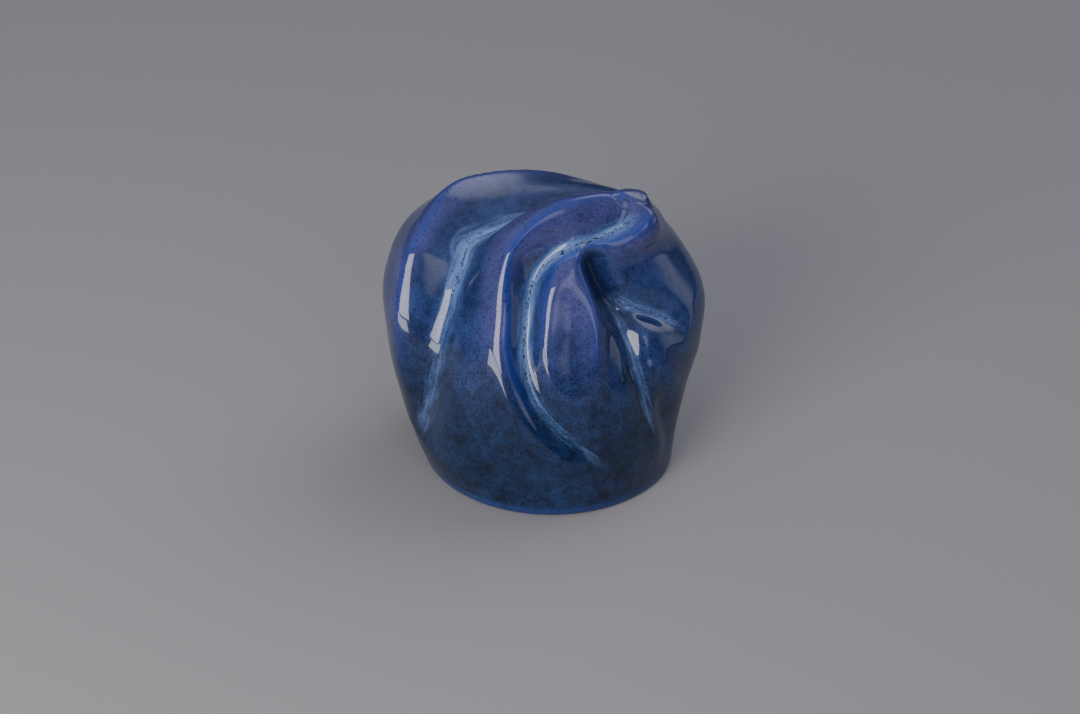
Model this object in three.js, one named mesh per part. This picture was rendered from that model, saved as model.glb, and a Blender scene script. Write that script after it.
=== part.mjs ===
// Folded keepsake urn: one hollow shell of glazed stoneware, drawn up into swirling folds, and the soft
// stopper that closes the fill hole in its underside.
// Millimetres, +Z up, the front towards -Y. The origin is on the table, under the middle of the urn.

import * as THREE from "three";

const degrees = THREE.MathUtils.degToRad;

// Driving dimensions
const bodyHeight = 90; // the smooth body that the folds are raised on, from the table to its peak
const bodyRadius = 50; // the smooth body's half width; folds and shifts are shares of it
const wall = 4.5; // clay between the hollow and the smooth body
const footRounding = 1.5; // soft outer edge of the foot
const footRingWidth = 7; // flat ring that the urn stands on
const recessDepth = 3; // how far the underside inside that ring is above the table
const floorThickness = 5; // clay under the hollow
const innerCorner = 4; // soft corner between floor and wall, inside
const fillHoleRadius = 13;
const stopperClearance = 0.3; // between stopper and clay, on every side
const lipWidth = 3; // stopper's lip, outside the hole
const lipThickness = 1.6;
const plugRise = 2; // plug above the floor, inside
const plugChamfer = 1;
const gripDepth = 4; // hollow in the stopper's underside, for the fingertips
const gripRadius = 8.5;
const knobRadius = 3; // what the fingertips pull, inside that hollow

// Fineness of the faceted solids
const outerColumns = 100;
const outerRows = 31;
const innerColumns = 50;
const innerRows = 18;
const roundingSteps = 3;
const frontCrowding = 0.45;
const peakCrowding = 0.5;
const crowdingFrom = degrees(105); // the side where the columns are furthest apart
const stopperSides = 40;
const pathSteps = 40;

// The smooth body is a stack of oval rings, from the round foot at level 0 to the peak at level 1. A ring's
// place to the right and back and its half width and depth are shares of bodyRadius, its height is a share
// of the body above the foot's rounding, and it leans down to the right and to the back by degrees.
const rings = [
  { level: 0.0, right: 0.05, back: -0.065, up: 0.0, width: 0.865, depth: 0.91, leanRight: 0, leanBack: 0 },
  { level: 0.12, right: 0.03, back: -0.05, up: 0.092, width: 0.91, depth: 0.93, leanRight: 0, leanBack: 0 },
  { level: 0.27, right: 0.01, back: -0.015, up: 0.26, width: 0.975, depth: 0.935, leanRight: 0, leanBack: 0 },
  { level: 0.42, right: 0.01, back: 0.035, up: 0.458, width: 1.04, depth: 0.89, leanRight: 1, leanBack: 0 },
  { level: 0.57, right: 0.01, back: 0.1, up: 0.655, width: 1.04, depth: 0.8, leanRight: 3, leanBack: 0 },
  { level: 0.7, right: 0.015, back: 0.15, up: 0.836, width: 0.845, depth: 0.66, leanRight: 4, leanBack: 1 },
  { level: 0.84, right: 0.28, back: 0.025, up: 0.95, width: 0.475, depth: 0.375, leanRight: 7, leanBack: 1 },
  { level: 1.0, right: 0.585, back: -0.11, up: 1.0, width: 0.012, depth: 0.012, leanRight: 6, leanBack: 1 },
];

// Folds are paths over the smooth body. A path's points are [level, degrees, rise]: degrees run from the
// right (0) by the back (90) and the left (180) to the front (270), and a rise is out if positive. Rises,
// and the half widths on the two sides of the path, are counted in fiftieths of bodyRadius. A low power
// gives a sharp crest, a high one a rounder fold with steeper sides.
const foldUnit = bodyRadius / 50;
const folds = [
  {
    name: "rim crest",
    left: 9,
    right: 6,
    power: 1.4,
    path: [
      [0.26, 205, 0.5], [0.38, 209, 2.5], [0.48, 213, 3.5], [0.56, 213, 4], [0.63, 212, 4.5],
      [0.69, 209, 5.5], [0.73, 201, 6.5], [0.755, 188, 7], [0.775, 170, 6.5], [0.79, 150, 5],
      [0.8, 130, 4], [0.795, 112, 3.2], [0.785, 95, 2.3], [0.785, 80, 1.2], [0.8, 66, 0.3], [0.83, 50, 0],
    ],
  },
  {
    name: "left valley",
    left: 9,
    right: 9,
    power: 2,
    path: [
      [0.19, 218, 0], [0.24, 213, -2.5], [0.33, 219, -4], [0.49, 228, -5], [0.61, 231, -6],
      [0.69, 229, -7], [0.74, 218, -7.5], [0.79, 206, -8], [0.84, 190, -8], [0.89, 170, -8],
      [0.93, 147, -6], [0.96, 125, -2],
    ],
  },
  {
    name: "middle crest",
    left: 9,
    right: 5,
    power: 1.6,
    path: [
      [0.24, 275, 1], [0.34, 267, 3], [0.44, 261, 4.5], [0.54, 258, 5.5], [0.63, 258, 6],
      [0.69, 256, 7.5], [0.75, 252, 8.5], [0.84, 247, 9], [0.91, 251, 8.5], [0.97, 250, 4],
    ],
  },
  {
    name: "middle valley",
    left: 5,
    right: 5,
    power: 2,
    path: [
      [0.18, 295, 0], [0.24, 287, -1], [0.33, 274, -2.5], [0.41, 266, -3.5], [0.51, 263, -5],
      [0.61, 264, -6.5], [0.69, 267, -7], [0.75, 272, -6.5], [0.81, 282, -5.5], [0.86, 295, -4.5],
      [0.94, 301, -1],
    ],
  },
  {
    name: "inner crest",
    left: 5,
    right: 6,
    power: 1.6,
    path: [
      [0.35, 281, 0], [0.48, 271, 2], [0.59, 270, 4], [0.67, 272, 5], [0.73, 274, 6], [0.76, 278, 6],
      [0.79, 286, 6], [0.82, 300, 6], [0.87, 311, 5], [0.94, 313, 2],
    ],
  },
  {
    name: "pillar edge",
    left: 8,
    right: 3.5,
    power: 1.5,
    path: [[0.37, 291, 0], [0.45, 288, 2], [0.58, 287, 4], [0.66, 286, 5], [0.75, 280, 5]],
  },
  {
    name: "front crease",
    left: 5,
    right: 3,
    power: 1.8,
    path: [
      [0.19, 321, 0], [0.27, 316, -1.5], [0.39, 308, -3], [0.53, 302, -5], [0.63, 298, -7],
      [0.71, 290, -7],
    ],
  },
  {
    name: "thin crest",
    left: 2.5,
    right: 3,
    power: 1.8,
    path: [
      [0.11, 325, 0], [0.21, 319, 1], [0.35, 313, 2], [0.46, 307, 2.5], [0.56, 303, 2.5], [0.63, 300, 1],
    ],
  },
  {
    name: "low valley",
    left: 4,
    right: 5,
    power: 2,
    path: [
      [0.12, 332, 0], [0.21, 328, -1.5], [0.33, 319, -2.8], [0.43, 311, -3.5], [0.5, 307, -2.5],
      [0.57, 304, -1],
    ],
  },
  {
    name: "side valley",
    left: 5,
    right: 5,
    power: 2,
    path: [[0.64, 300, -2], [0.61, 308, -5], [0.585, 316, -5], [0.555, 323, -3.5], [0.51, 331, 0]],
  },
  {
    name: "side crest",
    left: 8,
    right: 5,
    power: 1.8,
    path: [[0.24, 342, 0], [0.34, 326, 1], [0.41, 316, 2], [0.47, 310, 1.5], [0.51, 308, 0]],
  },
  {
    name: "shoulder",
    left: 7,
    right: 7,
    power: 2,
    path: [[0.68, 329, 1], [0.76, 327, 1.5], [0.86, 319, 2.5], [0.95, 315, 2]],
  },
  {
    name: "lower dip",
    left: 11,
    right: 11,
    power: 2,
    path: [[0, 352, -1.5], [0.1, 353, -2.5], [0.18, 355, -2.8], [0.27, 357, -2.3], [0.36, 360, 0]],
  },
  {
    name: "back valley",
    left: 8,
    right: 8,
    power: 2,
    path: [
      [0.16, 128, 0], [0.3, 131, -3], [0.46, 130, -5], [0.58, 123, -5], [0.67, 113, -3], [0.74, 103, 0],
    ],
  },
  {
    name: "back crest",
    left: 9,
    right: 7,
    power: 1.7,
    path: [[0.16, 100, 0], [0.3, 104, 2], [0.46, 103, 4], [0.58, 97, 3.5], [0.68, 88, 1.5], [0.76, 78, 0]],
  },
  {
    name: "far valley",
    left: 7,
    right: 7,
    power: 2,
    path: [
      [0.18, 66, 0], [0.32, 70, -3], [0.47, 68, -5], [0.61, 60, -5.5], [0.71, 48, -4.5], [0.8, 32, -2],
      [0.87, 14, 0],
    ],
  },
  {
    name: "far crest",
    left: 9,
    right: 8,
    power: 1.8,
    path: [[0.2, 40, 0], [0.34, 43, 2], [0.48, 40, 3], [0.62, 32, 1.5], [0.74, 20, 0]],
  },
];
const innerTopLevel = 0.93; // level of the hollow's last ring
const crestHollow = 0.5; // share of a crest's rise that the hollow follows
const valleySpread = 3 * foldUnit; // extra half width of a valley as seen from the hollow

const floorTop = recessDepth + floorThickness;

// A smooth curve through values at rising keys, read at t.
function smoothCurve(keys, values, t) {
  const last = keys.length - 1;
  const slope = (i) => (values[i + 1] - values[i]) / (keys[i + 1] - keys[i]);
  const tangent = (i) => {
    if (i === 0) return slope(0);
    if (i === last) return slope(last - 1);
    const before = keys[i] - keys[i - 1];
    const after = keys[i + 1] - keys[i];
    return (slope(i - 1) * after + slope(i) * before) / (before + after);
  };
  const at = THREE.MathUtils.clamp(t, keys[0], keys[last]);
  let i = 0;
  while (i < last - 1 && at > keys[i + 1]) i += 1;
  const span = keys[i + 1] - keys[i];
  const s = (at - keys[i]) / span;
  return (
    (2 * s ** 3 - 3 * s ** 2 + 1) * values[i] +
    (s ** 3 - 2 * s ** 2 + s) * span * tangent(i) +
    (3 * s ** 2 - 2 * s ** 3) * values[i + 1] +
    (s ** 3 - s ** 2) * span * tangent(i + 1)
  );
}

const ringLevels = rings.map((ring) => ring.level);
const ringColumns = Object.fromEntries(
  Object.keys(rings[0]).map((key) => [key, rings.map((ring) => ring[key])]),
);

function ringValue(key, level) {
  return smoothCurve(ringLevels, ringColumns[key], level);
}

// Height of the smooth body's ring centre at a level.
function ringHeight(level) {
  return footRounding + (bodyHeight - footRounding) * ringValue("up", level);
}

function levelAtHeight(height) {
  let low = 0;
  let high = 1;
  for (let i = 0; i < 40; i += 1) {
    const middle = (low + high) / 2;
    if (ringHeight(middle) < height) low = middle;
    else high = middle;
  }
  return low;
}

function smoothBody(level, angle) {
  const leanRight = degrees(ringValue("leanRight", level));
  const leanBack = degrees(ringValue("leanBack", level));
  const across = bodyRadius * ringValue("width", level) * Math.cos(angle);
  const deep = bodyRadius * ringValue("depth", level) * Math.sin(angle);
  return new THREE.Vector3(
    bodyRadius * ringValue("right", level) + across * Math.cos(leanRight),
    bodyRadius * ringValue("back", level) + deep * Math.cos(leanBack),
    ringHeight(level) - across * Math.sin(leanRight) - deep * Math.sin(leanBack),
  );
}

function smoothNormal(level, angle) {
  const step = 0.002;
  const round = smoothBody(level, angle + step).sub(smoothBody(level, angle - step));
  const upper = smoothBody(Math.min(1, level + step), angle);
  const rising = upper.sub(smoothBody(Math.max(0, level - step), angle));
  return round.cross(rising).normalize();
}

// A fold's path as points on the smooth body, with the normal and the rise there.
function tracePath(path) {
  const levels = path.map((point) => point[0]);
  const angles = path.map((point) => point[1]);
  const rises = path.map((point) => point[2]);
  const keys = [0];
  for (let i = 1; i < path.length; i += 1) {
    const upward = 3.2 * (levels[i] - levels[i - 1]);
    const sideways = 0.9 * degrees(angles[i] - angles[i - 1]);
    keys.push(keys[i - 1] + Math.hypot(upward, sideways));
  }
  return Array.from({ length: pathSteps }, (_, i) => {
    const t = (keys[keys.length - 1] * i) / (pathSteps - 1);
    const level = THREE.MathUtils.clamp(smoothCurve(keys, levels, t), 0, 1);
    const angle = degrees(smoothCurve(keys, angles, t));
    return {
      point: smoothBody(level, angle),
      normal: smoothNormal(level, angle),
      rise: foldUnit * smoothCurve(keys, rises, t),
    };
  });
}

const tracedFolds = folds.map((fold) => ({ ...fold, trace: tracePath(fold.path) }));

// The nearest place on a traced path: the distance, the rise there, and how far the point is to the right,
// from 0 on the left side to 1 on the right, with the ends of the path between them.
function nearestOnPath(trace, point) {
  const nearest = { distance: Infinity };
  for (let i = 0; i < trace.length - 1; i += 1) {
    const from = trace[i].point;
    const run = trace[i + 1].point.clone().sub(from);
    const offset = point.clone().sub(from);
    const t = THREE.MathUtils.clamp(offset.dot(run) / run.lengthSq(), 0, 1);
    offset.addScaledVector(run, -t);
    const distance = offset.length();
    if (distance < nearest.distance) {
      nearest.distance = distance;
      const aside = run.cross(trace[i].normal).normalize().dot(offset);
      nearest.rightness = 0.5 + (0.5 * aside) / Math.max(distance, 1e-9);
      nearest.rise = THREE.MathUtils.lerp(trace[i].rise, trace[i + 1].rise, t);
    }
  }
  return nearest;
}

// What all the folds together raise or sink the smooth body by, at a point on it.
function foldRise(point, crestShare, extraWidth) {
  let total = 0;
  for (const fold of tracedFolds) {
    const { distance, rightness, rise } = nearestOnPath(fold.trace, point);
    const isCrest = rise > 0;
    const sideWidth = foldUnit * THREE.MathUtils.lerp(fold.left, fold.right, rightness);
    const halfWidth = sideWidth + (isCrest ? 0 : extraWidth);
    const fall = Math.exp(-((distance / halfWidth) ** fold.power));
    total += (isCrest ? crestShare : 1) * rise * fall;
  }
  return total;
}

function outerPoint(level, angle) {
  const point = smoothBody(level, angle);
  const rise = foldRise(point, 1, 0);
  return point.addScaledVector(smoothNormal(level, angle), rise);
}

function innerPoint(level, angle) {
  const point = smoothBody(level, angle);
  const rise = foldRise(point, crestHollow, valleySpread) - wall;
  return point.addScaledVector(smoothNormal(level, angle), rise);
}

// A closed row of points, closer together at the front, where the folds are narrow.
function row(columns, pointAt) {
  return Array.from({ length: columns }, (_, i) => {
    const angle = (2 * Math.PI * i) / columns;
    return pointAt(angle + frontCrowding * Math.sin(angle - crowdingFrom));
  });
}

function average(points) {
  const sum = new THREE.Vector3();
  points.forEach((point) => sum.add(point));
  return sum.divideScalar(points.length);
}

// A level ring about the foot's centre, of the given radius and height.
function footRow(columns, radius, height) {
  const centre = new THREE.Vector3(bodyRadius * rings[0].right, bodyRadius * rings[0].back, height);
  return row(columns, (angle) =>
    new THREE.Vector3(Math.cos(angle), Math.sin(angle), 0).multiplyScalar(radius).add(centre),
  );
}

// Joins rows of points, each with one point or more, into a closed skin. The rows run down the outside,
// in under the foot, up through the hole and up the inside. Of a square's two diagonals the shorter one
// is its edge, so that crests stay even.
function skinRows(rows) {
  const points = rows.flat();
  const faces = [];
  let first = 0;
  const numbered = rows.map((members) => {
    first += members.length;
    return members.map((_, i) => first - members.length + i);
  });
  for (let k = 0; k < numbered.length - 1; k += 1) {
    const upper = numbered[k];
    const lower = numbered[k + 1];
    let i = 0;
    let j = 0;
    const upperEnd = upper.length > 1 ? upper.length : 0;
    const lowerEnd = lower.length > 1 ? lower.length : 0;
    while (i < upperEnd || j < lowerEnd) {
      const a = upper[i % upper.length];
      const b = lower[j % lower.length];
      const nextA = upper[(i + 1) % upper.length];
      const nextB = lower[(j + 1) % lower.length];
      const ahead = (i + 1) / upper.length - (j + 1) / lower.length;
      const level = Math.abs(ahead) < 1e-9;
      const shorter = points[b].distanceTo(points[nextA]) <= points[a].distanceTo(points[nextB]);
      if (i < upperEnd && (j >= lowerEnd || (level ? shorter : ahead < 0))) {
        faces.push(a, b, nextA);
        i += 1;
      } else {
        faces.push(a, b, nextB);
        j += 1;
      }
    }
  }
  const geometry = new THREE.BufferGeometry();
  geometry.setFromPoints(points);
  geometry.setIndex(faces);
  geometry.computeVertexNormals();
  return geometry;
}

// Rows are closer together near the peak, where the folds gather.
function outerLevel(k) {
  const share = k / outerRows;
  return share * (1 + peakCrowding * (1 - share));
}

function makeUrnBody() {
  const footRadius = bodyRadius * rings[0].width;
  const ringRadius = footRadius - footRounding - footRingWidth;
  const rows = [];

  const peakRow = row(outerColumns, (angle) => outerPoint(1, angle));
  rows.push([average(peakRow)]);
  for (let k = outerRows - 1; k >= 0; k -= 1) {
    rows.push(row(outerColumns, (angle) => outerPoint(outerLevel(k), angle)));
  }
  const footLine = rows[rows.length - 1];
  const footCentre = average(footLine);
  for (let k = roundingSteps - 1; k >= 0; k -= 1) {
    const turn = degrees((90 * k) / roundingSteps);
    const inset = footRounding * (1 - Math.sin(turn));
    const height = footRounding * (1 - Math.cos(turn));
    rows.push(footLine.map((point) => point.clone().lerp(footCentre, inset / footRadius).setZ(height)));
  }

  rows.push(footRow(innerColumns, ringRadius, 0));
  rows.push(footRow(innerColumns, ringRadius - recessDepth / 2, recessDepth));
  rows.push(footRow(innerColumns, fillHoleRadius, recessDepth));
  rows.push(footRow(innerColumns, fillHoleRadius, floorTop));

  const wallBegins = levelAtHeight(floorTop + innerCorner);
  const wallRow = row(innerColumns, (angle) => innerPoint(wallBegins, angle));
  const centre = average(wallRow).setZ(floorTop);
  const cornerShare = 1 - innerCorner / (footRadius - wall);
  rows.push(wallRow.map((point) => point.clone().setZ(floorTop).lerp(centre, 1 - cornerShare)));
  for (let k = 0; k < innerRows; k += 1) {
    const level = THREE.MathUtils.lerp(wallBegins, innerTopLevel, k / (innerRows - 1));
    rows.push(row(innerColumns, (angle) => innerPoint(level, angle)));
  }
  rows.push([average(rows[rows.length - 1])]);

  const glaze = new THREE.MeshStandardMaterial({ color: 0x2c4a8c, roughness: 0.12, metalness: 0 });
  const mesh = new THREE.Mesh(skinRows(rows), glaze);
  mesh.name = "urn_body";
  return mesh;
}

function makeStopper() {
  const plugRadius = fillHoleRadius - stopperClearance;
  const lipRadius = fillHoleRadius + lipWidth;
  const lipTop = recessDepth - stopperClearance;
  const lipBottom = lipTop - lipThickness;
  const plugTop = floorTop + plugRise;
  const gripTop = lipBottom + gripDepth;
  const profile = [
    [0, lipBottom],
    [knobRadius, lipBottom],
    [knobRadius, gripTop],
    [gripRadius, gripTop],
    [gripRadius, lipBottom],
    [lipRadius, lipBottom],
    [lipRadius, lipTop],
    [plugRadius, lipTop],
    [plugRadius, plugTop - plugChamfer],
    [plugRadius - plugChamfer, plugTop],
    [0, plugTop],
  ].map(([x, y]) => new THREE.Vector2(x, y));
  const geometry = new THREE.LatheGeometry(profile, stopperSides);
  geometry.rotateX(Math.PI / 2);
  const rubber = new THREE.MeshStandardMaterial({ color: 0x2a2c30, roughness: 0.75, metalness: 0 });
  const mesh = new THREE.Mesh(geometry, rubber);
  mesh.name = "base_stopper";
  mesh.position.set(bodyRadius * rings[0].right, bodyRadius * rings[0].back, 0);
  return mesh;
}

const urn = new THREE.Group();
urn.add(makeUrnBody(), makeStopper());

export default urn;
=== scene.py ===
import math

import bpy
import numpy as np
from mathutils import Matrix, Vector


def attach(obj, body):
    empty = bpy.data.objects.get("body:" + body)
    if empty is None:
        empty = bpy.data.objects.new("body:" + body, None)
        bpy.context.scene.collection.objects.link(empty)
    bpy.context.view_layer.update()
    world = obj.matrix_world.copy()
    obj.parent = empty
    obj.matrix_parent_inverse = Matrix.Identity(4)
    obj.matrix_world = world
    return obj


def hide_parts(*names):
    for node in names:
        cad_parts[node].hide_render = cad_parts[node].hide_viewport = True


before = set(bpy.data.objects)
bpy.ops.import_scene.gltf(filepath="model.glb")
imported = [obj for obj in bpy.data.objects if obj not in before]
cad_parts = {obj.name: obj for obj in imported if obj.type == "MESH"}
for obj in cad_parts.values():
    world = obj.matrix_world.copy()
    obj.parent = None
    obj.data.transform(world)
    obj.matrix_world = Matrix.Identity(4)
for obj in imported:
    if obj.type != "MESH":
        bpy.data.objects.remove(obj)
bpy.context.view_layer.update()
mm = 0.001
print("frame loaded")


# Camera, where the picture was taken from

camera = {
    "place": (-0.95, -477.4, 304.0),  # mm
    "pitch": 29.8,  # degrees below the horizon
    "focalLength": 1643.0,  # in pixels of the picture
    "pictureWidth": 1080.0,
    "sensorWidth": 36.0,
}


def makeCamera():
    data = bpy.data.cameras.new("camera")
    data.sensor_width = camera["sensorWidth"]
    data.lens = camera["sensorWidth"] * camera["focalLength"] / camera["pictureWidth"]
    data.clip_start = 0.01
    data.clip_end = 20
    eye = bpy.data.objects.new("camera", data)
    eye.location = Vector(camera["place"]) * mm
    eye.rotation_euler = (math.radians(90 - camera["pitch"]), 0, 0)
    bpy.context.scene.collection.objects.link(eye)
    bpy.context.scene.camera = eye


makeCamera()
print("camera placed")


# The body's smooth shape and its folds, in mm

body = {
    "height": 90.0,  # smooth body, from the table to its peak
    "radius": 50.0,  # its half width, which the rings' shares count in
    "wall": 4.5,
    "footRounding": 1.5,
    "footRingWidth": 7.0,
    "recessDepth": 3.0,
    "floorThickness": 5.0,
    "innerCorner": 4.0,
    "fillHoleRadius": 13.0,
    "holeRounding": 0.8,
    "innerTopLevel": 0.93,
    "crestHollow": 0.5,  # share of a crest that the hollow follows
    "valleySpread": 3.0,  # extra half width of a valley, as the hollow follows it
    "columns": 380,
    "outerRows": 175,
    "innerRows": 34,
    "cornerRows": 4,
    "roundingRows": 6,
    "frontCrowding": 0.55,  # columns stand closer at the front, where the folds are
    "crowdingFrom": 105.0,  # degrees
    "peakCrowding": 0.5,
    "guideStep": 0.25,  # between points of a fold's guide
    "measuringPoints": 400,  # for a fold's length
    "levelStride": 3.2,  # how much a level counts along a fold's path
    "turnStride": 0.9,  # and a radian round the body
}

# Each ring: level, right, back, up, half width and half depth as shares, lean right and back in degrees
rings = [
    (0.00, 0.050, -0.065, 0.000, 0.865, 0.910, 0, 0),
    (0.12, 0.030, -0.050, 0.092, 0.910, 0.930, 0, 0),
    (0.27, 0.010, -0.015, 0.260, 0.975, 0.935, 0, 0),
    (0.42, 0.010, 0.035, 0.458, 1.040, 0.890, 1, 0),
    (0.57, 0.010, 0.100, 0.655, 1.040, 0.800, 3, 0),
    (0.70, 0.015, 0.150, 0.836, 0.845, 0.660, 4, 1),
    (0.84, 0.280, 0.025, 0.950, 0.475, 0.375, 7, 1),
    (1.00, 0.585, -0.110, 1.000, 0.012, 0.012, 6, 1),
]

# Each fold: half widths to its left and right, power, and its path of (level, degrees, rise, milk).
# Milk is how much milky glaze gathers there, none where it isn't given.
# Degrees run from the right (0) by the back (90) and the left (180) to the front (270).
folds = {
    "rimCrest": (9, 6, 1.4, [
        (0.26, 205, 0.5), (0.38, 209, 2.5), (0.48, 213, 3.5), (0.56, 213, 4), (0.63, 212, 4.5),
        (0.69, 209, 5.5), (0.73, 201, 6.5), (0.755, 188, 7), (0.775, 170, 6.5), (0.79, 150, 5),
        (0.8, 130, 4), (0.795, 112, 3.2), (0.785, 95, 2.3), (0.785, 80, 1.2), (0.8, 66, 0.3),
        (0.83, 50, 0),
    ]),
    "leftValley": (9, 9, 2, [
        (0.17, 207, 0, 0.2), (0.24, 212, -2.5, 0.55), (0.33, 219, -4, 0.5), (0.49, 228, -5, 0.5),
        (0.61, 231, -6, 0.7), (0.69, 229, -7, 0.9), (0.74, 218, -7.5, 0.9), (0.79, 206, -8, 0.85),
        (0.84, 190, -8, 0.8), (0.89, 170, -8, 0.7), (0.93, 147, -6, 0.5), (0.96, 125, -2, 0),
    ]),
    "middleCrest": (9, 5, 1.6, [
        (0.24, 275, 1), (0.34, 267, 3), (0.44, 261, 4.5), (0.54, 258, 5.5), (0.63, 258, 6),
        (0.69, 256, 7.5), (0.75, 252, 8.5), (0.84, 247, 9), (0.91, 251, 8), (0.97, 250, 5.5),
    ]),
    "middleValley": (5, 5, 2, [
        (0.18, 295, 0, 0.3), (0.24, 287, -1, 0.45), (0.33, 274, -2.5, 0.5), (0.41, 266, -3.5, 0.6),
        (0.51, 263, -5, 0.9), (0.61, 264, -6.5, 1), (0.69, 267, -7, 1), (0.75, 272, -6.5, 0.95),
        (0.81, 282, -5.5, 0.9), (0.86, 295, -4.5, 0.75), (0.94, 301, -1, 0.1),
    ]),
    "innerCrest": (5, 6, 1.6, [
        (0.35, 281, 0), (0.48, 271, 2), (0.59, 270, 4), (0.67, 272, 5), (0.73, 274, 6), (0.76, 278, 6),
        (0.79, 286, 6), (0.82, 300, 6), (0.87, 311, 5), (0.94, 313, 2),
    ]),
    "pillarEdge": (8, 3.5, 1.5, [
        (0.37, 291, 0), (0.45, 288, 2), (0.58, 287, 4), (0.66, 286, 5), (0.75, 280, 5),
    ]),
    "frontCrease": (5, 4.2, 1.8, [
        (0.19, 321, 0, 0.1), (0.27, 316, -1.5, 0.45), (0.39, 308, -3, 0.5), (0.53, 302, -5, 0.6),
        (0.63, 298, -7, 0.5), (0.71, 290, -7, 0),
    ]),
    "thinCrest": (3, 3.4, 2, [
        (0.11, 325, 0), (0.21, 319, 0.7), (0.35, 313, 1.2), (0.46, 307, 1.3), (0.56, 303, 1.1),
        (0.63, 300, 0.4),
    ]),
    "lowValley": (4, 5, 2, [
        (0.12, 332, 0), (0.21, 328, -1.5), (0.32, 320, -2.4), (0.39, 314, -1.6), (0.45, 311, 0),
    ]),
    "sideValley": (5, 5, 2, [
        (0.64, 300, -2, 0.5), (0.61, 308, -5, 0.75), (0.585, 316, -5, 0.75), (0.555, 323, -3.5, 0.6),
        (0.51, 331, 0, 0),
    ]),
    "sideCrest": (8, 5, 1.8, [
        (0.24, 342, 0), (0.34, 326, 1), (0.4, 318, 1.6), (0.44, 314, 0.8), (0.48, 311, 0),
    ]),
    "shoulder": (7, 7, 2, [(0.68, 329, 1), (0.76, 327, 1.5), (0.86, 319, 2.2), (0.95, 315, 1)]),
    "lowerDip": (11, 11, 2, [
        (0, 352, -1.5), (0.1, 353, -2.5), (0.18, 355, -2.8), (0.27, 357, -2.3), (0.36, 360, 0),
    ]),
    "backValley": (8, 8, 2, [
        (0.16, 128, 0, 0), (0.3, 131, -3, 0.4), (0.46, 130, -5, 0.65), (0.58, 123, -5, 0.7),
        (0.67, 113, -3, 0.5), (0.74, 103, 0, 0),
    ]),
    "backCrest": (9, 7, 1.7, [
        (0.16, 100, 0), (0.3, 104, 2), (0.46, 103, 4), (0.58, 97, 3.5), (0.68, 88, 1.5), (0.76, 78, 0),
    ]),
    "farValley": (7, 7, 2, [
        (0.18, 66, 0, 0), (0.32, 70, -3, 0.3), (0.47, 68, -5, 0.55), (0.61, 60, -5.5, 0.7),
        (0.71, 48, -4.5, 0.6), (0.8, 32, -2, 0.3), (0.87, 14, 0, 0),
    ]),
    "farCrest": (9, 8, 1.8, [
        (0.2, 40, 0), (0.34, 43, 2), (0.48, 40, 3), (0.62, 32, 1.5), (0.74, 20, 0),
    ]),
}


def smoothCurve(keys, values, t):  # a smooth curve through values at rising keys
    keys = np.asarray(keys, float)
    values = np.asarray(values, float)
    gaps = np.diff(keys)
    slopes = np.diff(values) / gaps
    tangents = np.empty_like(values)
    tangents[0] = slopes[0]
    tangents[-1] = slopes[-1]
    tangents[1:-1] = (slopes[:-1] * gaps[1:] + slopes[1:] * gaps[:-1]) / (gaps[:-1] + gaps[1:])
    t = np.clip(t, keys[0], keys[-1])
    i = np.clip(np.searchsorted(keys, t, side="right") - 1, 0, len(keys) - 2)
    s = (t - keys[i]) / gaps[i]
    return (
        (2 * s**3 - 3 * s**2 + 1) * values[i]
        + (s**3 - 2 * s**2 + s) * gaps[i] * tangents[i]
        + (3 * s**2 - 2 * s**3) * values[i + 1]
        + (s**3 - s**2) * gaps[i] * tangents[i + 1]
    )


ringTable = np.array(rings)
footMiddle = np.array(rings[0][1:3]) * body["radius"]
footRadius = rings[0][4] * body["radius"]


def smoothBody(level, angle):
    right, back, up, width, depth, leanRight, leanBack = (
        smoothCurve(ringTable[:, 0], ringTable[:, column], level) for column in range(1, 8)
    )
    across = body["radius"] * width * np.cos(angle)
    deep = body["radius"] * depth * np.sin(angle)
    leanRight = np.radians(leanRight)
    leanBack = np.radians(leanBack)
    rise = body["height"] - body["footRounding"]
    return np.stack([
        body["radius"] * right + across * np.cos(leanRight),
        body["radius"] * back + deep * np.cos(leanBack),
        body["footRounding"] + rise * up - across * np.sin(leanRight) - deep * np.sin(leanBack),
    ], -1)


def unit(vectors):
    return vectors / np.maximum(np.linalg.norm(vectors, axis=-1, keepdims=True), 1e-12)


def smoothNormal(level, angle):
    step = 0.002  # in levels and in radians
    around = smoothBody(level, angle + step) - smoothBody(level, angle - step)
    upper = smoothBody(np.minimum(1, level + step), angle)
    return unit(np.cross(around, upper - smoothBody(np.maximum(0, level - step), angle)))


def levelAtHeight(height):
    levels = np.linspace(0, 1, 2001)
    up = smoothCurve(ringTable[:, 0], ringTable[:, 3], levels)
    return np.interp(height, body["footRounding"] + (body["height"] - body["footRounding"]) * up, levels)


def meshObject(name, points, faces, edges=()):
    mesh = bpy.data.meshes.new(name)
    mesh.from_pydata([tuple(p) for p in points], list(edges), list(faces))
    made = bpy.data.objects.new(name, mesh)
    bpy.context.scene.collection.objects.link(made)
    return made


def setAttribute(mesh, name, kind, values):
    layer = mesh.attributes.new(name, kind, "POINT")
    field = "vector" if kind == "FLOAT_VECTOR" else "value"
    layer.data.foreach_set(field, np.asarray(values).ravel())


# What each point of a fold's guide holds. Shape is its rise, slope and power, and reach its half widths and
# the way along it.
guideKinds = {
    "shape": "FLOAT_VECTOR",
    "reach": "FLOAT_VECTOR",
    "tangent": "FLOAT_VECTOR",
    "side": "FLOAT_VECTOR",
    "milk": "FLOAT",
    "fold": "INT",
}


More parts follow.
